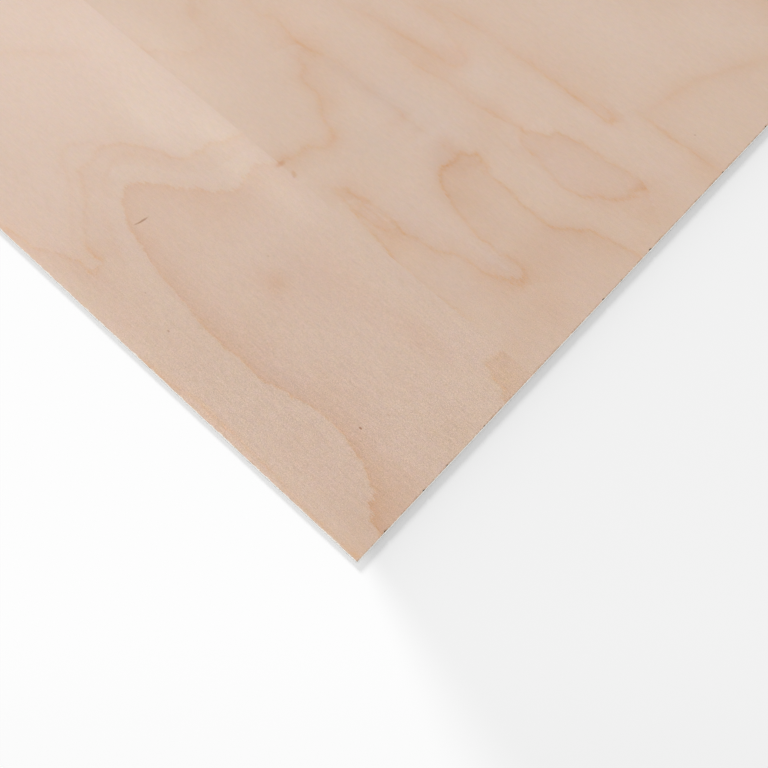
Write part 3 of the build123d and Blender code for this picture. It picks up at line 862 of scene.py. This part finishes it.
def dress_paper(material):
    """Make the paper backing, whose cut edge stands up against the wood as a thin furry burr."""
    rng = np.random.default_rng(PAPER_SEED)
    low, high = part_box("paper_backing")
    furry = partial(uneven, rng=rng, sizes=PAPER_STEPS)
    points, shares = outline(low, high, [furry] * 4, (False,) * 4)
    at_end = np.floor(shares).astype(int) % 2 == 1
    tufts = np.where(at_end, END_BURR, SIDE_BURR) + BURR_SPREAD * rng.normal(0, 1, len(shares))
    crest = np.clip(tufts, BURR_LOW, BURR_HIGH)
    rings = [ring_at(points, low.z), ring_at(points, high.z)]
    for inset, height in BURR:
        inner = np.clip(points, (low.x + inset, low.y + inset), (high.x - inset, high.y - inset))
        rings.append(ring_at(inner, high.z + height * (crest - high.z)))
    columns, rows = (np.linspace(low[axis] + RIM, high[axis] - RIM, PAPER_GRID[axis]) for axis in (0, 1))
    mesh, vertices = slab_mesh("paper_backing_sheet", rings, shares, low, high, columns, rows)
    inner = np.ones((len(vertices), 1))
    first = len(columns) * len(rows)
    inner[first:first + OUTER_RINGS * len(points)] = 0
    inner[-4:] = 0  # the base's corners
    write_attribute(mesh, "inner", inner)
    return show(mesh, "paper_backing", material)


SEED_OFFSETS = (17.3, 9.1, 4.7)  # how far apart the noises of two seeds lie


class Shader:
    """A material's nodes, with a short call for each kind that the materials here are made of."""

    def __init__(self, name):
        self.material = bpy.data.materials.new(name)
        self.material.use_nodes = True
        self.tree = self.material.node_tree
        self.tree.nodes.clear()

    def feed(self, socket, value):
        """Link a socket to another, or set its value."""
        if isinstance(value, bpy.types.NodeSocket):
            self.tree.links.new(value, socket)
        else:
            socket.default_value = value

    def node(self, kind, *values, **settings):
        """Add a node, with its settings, and feed its first inputs in order."""
        node = self.tree.nodes.new("ShaderNode" + kind)
        for key, value in settings.items():
            setattr(node, key, value)
        for socket, value in zip(node.inputs, values):
            self.feed(socket, value)
        return node

    def math(self, operation, *values, clamp=False):
        return self.node("Math", *values, operation=operation, use_clamp=clamp).outputs[0]

    def vector(self, operation, *values):
        node = self.node("VectorMath", *values, operation=operation)
        return node.outputs["Value" if operation in ("LENGTH", "DOT_PRODUCT") else "Vector"]

    def scaled(self, colour, amount):
        """Return a colour times a value."""
        node = self.node("VectorMath", colour, operation="SCALE")
        self.feed(node.inputs["Scale"], amount)
        return node.outputs["Vector"]

    def fade(self, value, start, stop, to_start=0.0, to_stop=1.0):
        """Return a smooth step of the value from one number at start to another at stop."""
        node = self.node("MapRange", value, start, stop, to_start, to_stop, interpolation_type="SMOOTHSTEP")
        return node.outputs[0]

    def attribute(self, name):
        return self.node("Attribute", attribute_name=name)

    def parts(self, vector):
        return self.node("SeparateXYZ", vector).outputs

    def noise(self, size, seed, detail=1.0, roughness=0.5, coloured=False):
        """Return noise about zero, one number or three, with features of a size in mm along X, Y and Z."""
        place = self.node("TexCoord").outputs["Object"]
        stretch = [1 / (length * MM) for length in size]
        away = tuple(offset * seed for offset in SEED_OFFSETS)
        place = self.vector("MULTIPLY_ADD", place, stretch, away)
        node = self.node("TexNoise", place)
        node.inputs["Scale"].default_value = 1.0
        node.inputs["Detail"].default_value = detail
        node.inputs["Roughness"].default_value = roughness
        if coloured:
            return self.vector("SUBTRACT", node.outputs[1], (0.5, 0.5, 0.5))
        return self.math("SUBTRACT", node.outputs[0], 0.5)

    def varied(self, colour, source, change):
        """Return a colour that has a share more of red, green and blue for each unit of the source."""
        return self.vector("MULTIPLY", colour, self.vector("ADD", self.scaled(change, source), (1, 1, 1)))

    def mixed(self, colour, other, amount):
        """Return a colour that gives way to another by an amount from 0 to 1."""
        kept = self.scaled(colour, self.math("SUBTRACT", 1.0, amount))
        return self.vector("ADD", kept, self.scaled(other, amount))

    def total(self, values):
        result = values[0]
        for value in values[1:]:
            result = self.math("ADD", result, value)
        return result

    def finish(self, colour, roughness, bump=None, bump_distance=0.0, specular=0.3):
        """Join everything in a Principled shader and return the material."""
        principled = self.node("BsdfPrincipled")
        self.feed(principled.inputs["Base Color"], colour)
        self.feed(principled.inputs["Roughness"], roughness)
        principled.inputs["Specular IOR Level"].default_value = specular
        if bump is not None:
            node = self.node("Bump")
            node.inputs["Strength"].default_value = 1.0
            node.inputs["Distance"].default_value = bump_distance
            self.feed(node.inputs["Height"], bump)
            self.feed(principled.inputs["Normal"], node.outputs[0])
        output = self.node("OutputMaterial")
        self.tree.links.new(principled.outputs[0], output.inputs["Surface"])
        return self.material


# Wood
EDGE_LEAF_WOOD = (0.638, 0.474, 0.375)
MAIN_LEAF_WOOD = (0.638, 0.473, 0.367)
CORE_TONE = (0.002, 0.045, 0.115)  # share of red, green and blue that a growth line's sharp edge takes away
FADE_TONE = (0.020, 0.065, 0.100)  # and that the brown on its dark side takes away
BOTH_TONE = (0.020, 0.092, 0.160)  # and that the tone on both its sides takes away
CORE_WIDTH = 0.42  # mm, in which a line's sharp edge falls to a third
EDGE_SOFTNESS = 0.3  # mm
WORN_TONE = (0.080, 0.085, 0.080)  # share that the wood along the long edge has more
WORN_REACH = 3.2  # mm, in which it falls to a third
EDGE_TONE = (0.18, 0.24, 0.30)  # share that the broken fibres take away at the cut ends
SPECK_TONE = (0.45, 0.59, 0.68)  # share that a dark speck takes away
FLECK_TONE = (0.07, 0.19, 0.30)  # and that a red-brown fleck takes away
FRAYED_WOOD = (0.90, 0.86, 0.80)  # the crushed fibres along the cuts
TORN_WOOD_PAINTED_LIGHT = (0.98, 0.74, 0.52)  # the fresh wood in the depth of the cuts and chips, made brighter as painted light against their shade
GRAIN_CREST = (350, 420)  # pixel on the line across the view on which the finest grain shows most
GRAIN_REACH = 40.0  # mm, from that line, where the finest grain is half as strong as on it

# Noise in the wood: its size along x, y and z in mm, what it adds to the seed, its detail, and the share
# of red, green and blue that it changes. The first three show most on the line through the crest.
RAISED_LAYERS = {
    "dust": ((0.26, 0.17, 0.17), 12, 0.0, (0.66, 0.69, 0.72)),
    "grain": ((1.0, 0.15, 0.15), 0, 0.0, (0.10, 0.11, 0.12)),
    "thread": ((4.5, 0.15, 0.15), 10, 0.0, (0.17, 0.18, 0.19)),
}
EVEN_LAYERS = {
    "fibre": ((1.8, 0.34, 0.34), 1, 1.0, (0.09, 0.10, 0.11)),
    "streak": ((7.0, 0.9, 0.9), 2, 1.5, (0.05, 0.06, 0.07)),
    "band": ((45.0, 7.0, 7.0), 3, 2.0, (0.02, 0.03, 0.045)),
}
COLOURED_LAYERS = {
    "dye": ((0.6, 0.35, 0.35), 11, 1.0, (0.05, 0.04, 0.10)),
    "mottle": ((1.9, 1.3, 1.3), 4, 2.0, (0.09, 0.07, 0.19)),
    "cloud": ((14.0, 8.0, 8.0), 5, 1.0, (0.01, 0.02, 0.045)),
}
SPECK_HEIGHT = 10 * MM  # far more than the wood is thick, so that the height plays no part
SPECK_SOFTNESS = (0.35, 1.35)  # where a speck's tone starts and stops falling, as shares of its size
GRAIN_RELIEF = 0.001 * MM


# Noise that makes the growth lines ragged: its size along x, y and z in mm, seed, detail, roughness and
# strength. The first three move a line, in mm, and the last two change how strong its sharp edge is.
FRAYS = ((2.4, 0.28, 1), 4, 2, 0.6, 6.0)  # where a line runs across the grain
TEETH = ((1.3, 0.4, 1), 1, 1, 0.5, 1.5)
SWAY = ((4.5, 1.6, 1), 2, 1.0, 0.5, 1.4)
PATCHES = ((2.0, 0.8, 1), 3, 1, 0.5, 1.8)
DOTS = ((0.9, 0.4, 1), 5, 1.0, 0.5, 1.8)


def ring_tones(shader):
    """Return how strongly the growth lines' sharp edges, fades and two-sided tones colour each point."""
    frays, teeth, sway = (shader.math("MULTIPLY", shader.noise(*layer), strength)
                          for *layer, strength in (FRAYS, TEETH, SWAY))
    patches, dots = (shader.math("MULTIPLY_ADD", shader.noise(*layer), strength, 1.0)
                     for *layer, strength in (PATCHES, DOTS))
    ragged = shader.math("ADD", teeth, sway)
    patchy = shader.math("MULTIPLY", patches, dots)
    slants = shader.parts(shader.attribute("slant").outputs["Vector"])
    cores, fades, boths = [], [], []
    for group in range(FIGURE_GROUPS):
        figure = shader.attribute(f"figure_{group}")
        signed, core, fade = shader.parts(figure.outputs["Vector"])
        signed = shader.math("ADD", signed, shader.math("MULTIPLY_ADD", slants[group], frays, ragged))
        inside = shader.fade(signed, -EDGE_SOFTNESS, EDGE_SOFTNESS)
        decay = shader.math("POWER", math.exp(-1 / CORE_WIDTH**2), shader.math("MULTIPLY", signed, signed))
        cores.append(shader.math("MULTIPLY", shader.math("MULTIPLY", core, decay), patchy))
        fades.append(shader.math("MULTIPLY", fade, inside))
        boths.append(figure.outputs["Alpha"])
    return [shader.total(tones) for tones in (cores, fades, boths)]


def speck_tone(shader, specks):
    """Return how strongly the specks colour each point."""
    place = shader.node("TexCoord").outputs["Object"]
    tones = []
    for first, last, half_width, strength in specks:
        start, stop = np.array(on_sheet(first)), np.array(on_sheet(last))
        middle, reach = (start + stop) / 2, stop - start
        node = shader.node("Mapping", vector_type="TEXTURE")
        shader.feed(node.inputs["Vector"], place)
        node.inputs["Location"].default_value = (*middle, TOP)
        node.inputs["Rotation"].default_value = (0, 0, math.atan2(reach[1], reach[0]))
        half = half_width * MM
        node.inputs["Scale"].default_value = (np.hypot(*reach) / 2 + half, half, SPECK_HEIGHT)
        away = shader.vector("LENGTH", node.outputs[0])
        tones.append(shader.fade(away, *SPECK_SOFTNESS, strength, 0.0))
    return shader.math("MINIMUM", shader.total(tones), 1.0)


def raised_grain(shader):
    """Return how strongly the finest grain shows: most on the line across the view through the crest."""
    onward = Vector((-BACK.x, -BACK.y, 0)).normalized() / (GRAIN_REACH * MM)
    place = shader.vector("SUBTRACT", shader.node("TexCoord").outputs["Object"], (*on_sheet(GRAIN_CREST), 0))
    away = shader.vector("DOT_PRODUCT", place, tuple(onward))
    return shader.math("DIVIDE", 1.0, shader.math("MULTIPLY_ADD", away, away, 1.0))


# The cut ends and edges. Distances from the cut are in mm.
BROKEN_SIZES = ((0.8, 0.55, 0.5), (4.0, 5.0, 4.0))  # of the noise that breaks the dark line along the ends
END_WIDTH, END_WIDTH_CHANGE = 0.34, 0.5  # mean width of that line, and how much the noise changes it
END_FALL = (0.35, 1.25)  # where the line's tone starts and stops falling, as shares of its width
END_GAPS = (-0.2, 0.25, 0.25, 1.0)  # from one value of the noise to another, the line's strength at each
NICK_SIZE = (3.0, 0.5, 0.5)
NICKS = (0.12, 0.25, 0.0, 0.7)  # the same for the dark nicks along the long edge
SIDE_FALL = (0.05, 0.35)
TUFT_SIZE = (1.6, 0.5, 0.5)
TUFT_REACH, TUFT_CHANGE = 0.04, 0.9  # mean reach of the crushed fibres, and how much the noise changes it
END_CRUSH = 3.0  # how much less far than at the long edge they reach at the ends
FRAY_SOFTNESS, FRAY_STRENGTH = 0.06, 0.85
UPRIGHT = (0.3, 0.8)  # height of the normal up to which a face counts as upright, and from which as level
WOOD_ROUGHNESS, ROUGHNESS_CHANGE = 0.6, 0.25


def end_tones(shader, seed, from_end, from_side):
    """Return how strongly the broken fibres darken the cuts, and where crushed fibres whiten them."""
    fine, coarse = (shader.noise(size, seed + step) for step, size in enumerate(BROKEN_SIZES, 6))
    broken = shader.math("ADD", fine, coarse)
    width = shader.math("MULTIPLY_ADD", broken, END_WIDTH_CHANGE, END_WIDTH)
    end_line = shader.fade(shader.math("DIVIDE", from_end, width), *END_FALL, 1.0, 0.0)
    end_line = shader.math("MULTIPLY", end_line, shader.fade(broken, *END_GAPS))
    nick = shader.fade(shader.noise(NICK_SIZE, seed + 8), *NICKS)
    side_line = shader.math("MULTIPLY", shader.fade(from_side, *SIDE_FALL, 1.0, 0.0), nick)
    tufts = shader.noise(TUFT_SIZE, seed + 9, detail=2.0)
    tufts = shader.math("MULTIPLY_ADD", tufts, TUFT_CHANGE, TUFT_REACH)
    from_cut = shader.math("MINIMUM", from_side, shader.math("MULTIPLY", from_end, END_CRUSH))
    past_tufts = shader.math("SUBTRACT", from_cut, tufts)
    frayed = shader.fade(past_tufts, -FRAY_SOFTNESS, FRAY_SOFTNESS, FRAY_STRENGTH, 0.0)
    return shader.math("MAXIMUM", end_line, side_line), frayed


def wood(name, base, seed):
    """Return the material of a leaf: fine even fibre, soft mottling, growth lines and darkened cut ends."""
    shader = Shader(name)
    raised = raised_grain(shader)
    colour = shader.vector("MULTIPLY", shader.attribute("tint").outputs["Vector"], base)
    sources = {}
    for layer, (size, step, detail, change) in {**RAISED_LAYERS, **EVEN_LAYERS}.items():
        source = shader.noise(size, seed + step, detail=detail)
        if layer in RAISED_LAYERS:
            source = shader.math("MULTIPLY", source, raised)
        colour = shader.varied(colour, source, change)
        sources[layer] = source
    for size, step, detail, change in COLOURED_LAYERS.values():
        source = shader.noise(size, seed + step, detail=detail, coloured=True)
        colour = shader.vector("MULTIPLY", colour, shader.vector("MULTIPLY_ADD", source, change, (1, 1, 1)))

    from_end, from_side, _ = shader.parts(shader.attribute("rim").outputs["Vector"])
    worn = shader.math("POWER", math.exp(-1 / WORN_REACH), from_side)
    colour = shader.varied(colour, worn, WORN_TONE)
    edge, frayed = end_tones(shader, seed, from_end, from_side)
    core, fade, both = ring_tones(shader)
    for tone, amount in ((CORE_TONE, core), (FADE_TONE, fade), (BOTH_TONE, both), (EDGE_TONE, edge),
                         (SPECK_TONE, speck_tone(shader, SPECKS)), (FLECK_TONE, speck_tone(shader, FLECKS))):
        share = shader.vector("SUBTRACT", (1, 1, 1), shader.scaled(tone, amount))
        colour = shader.vector("MULTIPLY", colour, share)
    colour = shader.mixed(colour, FRAYED_WOOD, frayed)
    # Painted light: upright faces take the fresh wood, brightened against the shade in the cuts and chips.
    upright = shader.parts(shader.node("NewGeometry").outputs["Normal"])[2]
    colour = shader.mixed(colour, TORN_WOOD_PAINTED_LIGHT, shader.fade(upright, *UPRIGHT, 1.0, 0.0))

    roughness = shader.math("MULTIPLY_ADD", sources["streak"], ROUGHNESS_CHANGE, WOOD_ROUGHNESS)
    return shader.finish(colour, roughness, bump=sources["grain"], bump_distance=GRAIN_RELIEF)


# Paper
PAPER = (0.94, 0.93, 0.90)
CLOUD_SIZE, CLOUD_CHANGE = (3.5, 3.5, 3.5), (0.03, 0.035, 0.045)  # size in mm, and share of each colour
HAIR_SIZE, HAIR_CHANGE = (1.4, 0.35, 0.35), (0.05, 0.05, 0.06)
GLUE_LIMIT = (0.85, 1.0)  # shares of the way from the bare margin to the glued paper
GLUED = (0.86, 0.72, 0.58)  # under the wood, which shows in the chips of the wood's ends


def paper(name):
    """Return the material of the backing: smooth cream paper with faint clouding and short fibres."""
    shader = Shader(name)
    colour = PAPER
    clouding = shader.noise(CLOUD_SIZE, 1, detail=2.0)
    hairs = shader.noise(HAIR_SIZE, 2, detail=1.0)
    for source, change in ((clouding, CLOUD_CHANGE), (hairs, HAIR_CHANGE)):
        colour = shader.varied(colour, source, change)
    glued = shader.fade(shader.attribute("inner").outputs["Fac"], *GLUE_LIMIT)
    colour = shader.mixed(colour, GLUED, glued)
    return shader.finish(colour, 0.8, bump=hairs, bump_distance=0.002 * MM, specular=0.2)


# The stage
FLOOR_SIZE = 6.0
FLOOR_DROP = 0.03 * MM
FLOOR_LIT = (0.995, 0.995, 0.995)
FLOOR_SHADED = 0.902  # painted shade: share of the light that the greyer part of the floor gets
FLOOR_NEAR = 0.977  # and that the floor nearest the camera gets, as painted shade
FLOOR_NEARING = (10 * MM, 50 * MM)  # down the view from the limit's start, where it falls to that
SHADE_START, SHADE_STOP = (375, 572), (485, 768)  # pixels on the soft limit between the two tones
SHADE_WIDTH = 3.7 * MM  # half the width of that limit at its start
SHADE_WIDENING = 0.155
SHADE_UNDER = (-60 * MM, -15 * MM)  # it ends under the sheet, between these distances from the sheet's end
SHADE_REACH = (150 * MM, 420 * MM)  # and fades away between these distances from its start
PAINTED_CONTACT_SHADOW = 0.16  # painted contact shadow: share of the light that the floor right beside the sheet's end lacks besides
CONTACT_REACH = 6 * MM
SUN_TRAVEL = (2.55, -1.2, -0.7)
SUN_STRENGTH = 2.64
SUN_ANGLE = math.radians(8)
WORLD_STRENGTH = 0.785
BACKDROP = (0.9, 0.9, 0.9)


def floor_material():
    """Return the material of the pale floor, with painted shade that greys it in front of the sheet's
    photographed end.
    """
    shader = Shader("floor")
    place = shader.node("TexCoord").outputs["Object"]
    # Painted shade: the floor turns greyer beyond a soft limit in front of the sheet's photographed end.
    start, stop = np.array(on_sheet(SHADE_START)), np.array(on_sheet(SHADE_STOP))
    along = (stop - start) / np.hypot(*(stop - start))
    apart = shader.vector("SUBTRACT", place, (*start, 0))
    onward = shader.vector("DOT_PRODUCT", apart, (*along, 0))
    beside = shader.vector("DOT_PRODUCT", apart, (-along[1], along[0], 0))
    width = shader.math("MULTIPLY_ADD", shader.math("MAXIMUM", onward, 0.0), SHADE_WIDENING, SHADE_WIDTH)
    shade = shader.fade(shader.math("DIVIDE", beside, width), -1.0, 1.0)
    from_sheet = shader.math("SUBTRACT", shader.parts(place)[0], SHEET_HIGH.x)
    shade = shader.math("MULTIPLY", shade, shader.fade(from_sheet, *SHADE_UNDER))
    reached = shader.fade(shader.vector("LENGTH", apart), *SHADE_REACH, 1.0, 0.0)
    shade = shader.math("MULTIPLY", shade, reached)

    # Painted contact shadow: the floor is darker still right beside the sheet's end.
    reach = shader.math("MULTIPLY_ADD", shader.math("MAXIMUM", from_sheet, 0.0), 1 / CONTACT_REACH, 1.0)
    painted_contact_shadow = shader.math("DIVIDE", PAINTED_CONTACT_SHADOW, shader.math("MULTIPLY", reach, reach))
    kept = shader.math("MULTIPLY", FLOOR_SHADED, shader.math("SUBTRACT", 1.0, painted_contact_shadow))
    lost = shader.math("MULTIPLY", shade, shader.math("SUBTRACT", 1.0, kept))
    # Painted shade: the floor is slightly darker nearest the camera.
    nearness = shader.vector("DOT_PRODUCT", apart, tuple(-UP))
    near = shader.fade(nearness, *FLOOR_NEARING, 1.0, FLOOR_NEAR)
    value = shader.math("MULTIPLY", near, shader.math("SUBTRACT", 1.0, lost))
    return shader.finish(shader.scaled(FLOOR_LIT, value), 0.9, specular=0.0)


def make_floor():
    """Put the floor just under the sheet."""
    bpy.ops.mesh.primitive_plane_add(size=FLOOR_SIZE, location=(0, 0, -FLOOR_DROP))
    floor = bpy.context.object
    floor.name = "floor"
    floor.data.materials.append(floor_material())


def make_lights():
    """Light the sheet softly from all round, with one low soft lamp from behind and to the left."""
    sun = bpy.data.lights.new("low_lamp", "SUN")
    sun.energy = SUN_STRENGTH
    sun.angle = SUN_ANGLE
    lamp = bpy.data.objects.new("low_lamp", sun)
    lamp.rotation_euler = Vector(SUN_TRAVEL).to_track_quat("-Z", "Y").to_euler()
    bpy.context.scene.collection.objects.link(lamp)

    world = bpy.data.worlds.new("studio")
    world.use_nodes = True
    nodes, links = world.node_tree.nodes, world.node_tree.links
    nodes.clear()
    light, backdrop = nodes.new("ShaderNodeBackground"), nodes.new("ShaderNodeBackground")
    light.inputs["Color"].default_value = (1, 1, 1, 1)
    light.inputs["Strength"].default_value = WORLD_STRENGTH
    backdrop.inputs["Color"].default_value = (*BACKDROP, 1)
    backdrop.inputs["Strength"].default_value = 1.0
    path, mix = nodes.new("ShaderNodeLightPath"), nodes.new("ShaderNodeMixShader")
    seen = nodes.new("ShaderNodeMath")
    seen.operation = "MAXIMUM"
    links.new(path.outputs["Is Camera Ray"], seen.inputs[0])
    links.new(path.outputs["Is Transmission Ray"], seen.inputs[1])
    links.new(seen.outputs[0], mix.inputs[0])
    links.new(light.outputs[0], mix.inputs[1])
    links.new(backdrop.outputs[0], mix.inputs[2])
    output = nodes.new("ShaderNodeOutputWorld")
    links.new(mix.outputs[0], output.inputs["Surface"])
    bpy.context.scene.world = world


def make_camera():
    """Put the camera where the photograph was taken from."""
    data = bpy.data.cameras.new("camera")
    data.sensor_fit = "HORIZONTAL"
    data.sensor_width = SENSOR
    data.lens = FOCAL_PIXELS / PHOTO_SIDE * SENSOR
    data.clip_start = 0.01
    camera = bpy.data.objects.new("camera", data)
    turn = Matrix((RIGHT, UP, BACK)).transposed()
    camera.matrix_world = Matrix.Translation(CAMERA_AT) @ turn.to_4x4()
    bpy.context.scene.collection.objects.link(camera)
    bpy.context.scene.camera = camera


make_camera()
make_floor()
make_lights()
dress_paper(paper("backing_paper"))
dress_leaf("edge_leaf", wood("edge_leaf_wood", EDGE_LEAF_WOOD, 1),
           EDGE_LEAF_LINES + EDGE_LEAF_REST, EDGE_LEAF_TINTS, EDGE_LEAF_SPACING, splice_side=2, seed=11)
dress_leaf("main_leaf", wood("main_leaf_wood", MAIN_LEAF_WOOD, 2),
           MAIN_LEAF_LINES + MAIN_LEAF_REST, MAIN_LEAF_TINTS, MAIN_LEAF_SPACING, splice_side=0, seed=23)
bpy.context.scene.view_settings.view_transform = "Standard"
